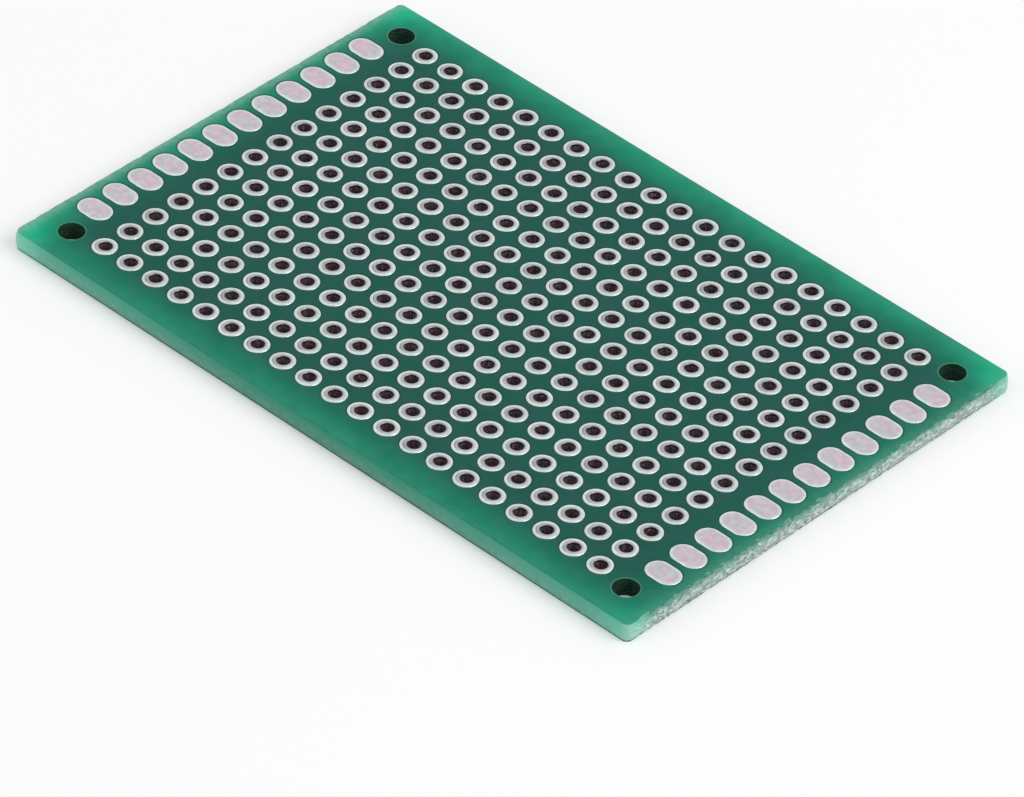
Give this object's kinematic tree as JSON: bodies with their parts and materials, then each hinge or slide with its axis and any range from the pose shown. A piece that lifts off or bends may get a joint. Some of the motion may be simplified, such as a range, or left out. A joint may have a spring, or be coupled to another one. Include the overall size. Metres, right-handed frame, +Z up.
{
  "type": "prototype board",
  "caption": "Rectangular double-sided prototype board with a grid of plated lead holes, oblong end pads and corner mounting holes, for soldering up circuits.",
  "frame": {"origin": "centre of the board's rectangular outline, on the plane that its lower pads rest on", "axes": "+X along the long side, +Y along the short side, +Z up through the thickness"},
  "size_m": [0.06, 0.04, 0.0016],
  "materials": {
    "glass_epoxy": "sawn glass-fibre laminate, slightly translucent",
    "solder_mask": "green lacquer, satin",
    "tinned_copper": "tinned, satin"
  },
  "bodies": {
    "root": {"laminate": "glass_epoxy", "solder_mask_top": "solder_mask", "solder_mask_bottom": "solder_mask", "hole_row_a": "tinned_copper", "hole_row_b": "tinned_copper", "hole_row_c": "tinned_copper", "hole_row_d": "tinned_copper", "hole_row_e": "tinned_copper", "hole_row_f": "tinned_copper", "hole_row_g": "tinned_copper", "hole_row_h": "tinned_copper", "hole_row_i": "tinned_copper", "hole_row_j": "tinned_copper", "hole_row_k": "tinned_copper", "hole_row_l": "tinned_copper", "hole_row_m": "tinned_copper", "hole_row_n": "tinned_copper", "end_pads_top_left": "tinned_copper", "end_pads_top_right": "tinned_copper", "end_pads_bottom_left": "tinned_copper", "end_pads_bottom_right": "tinned_copper"}
  },
  "joints": []
}
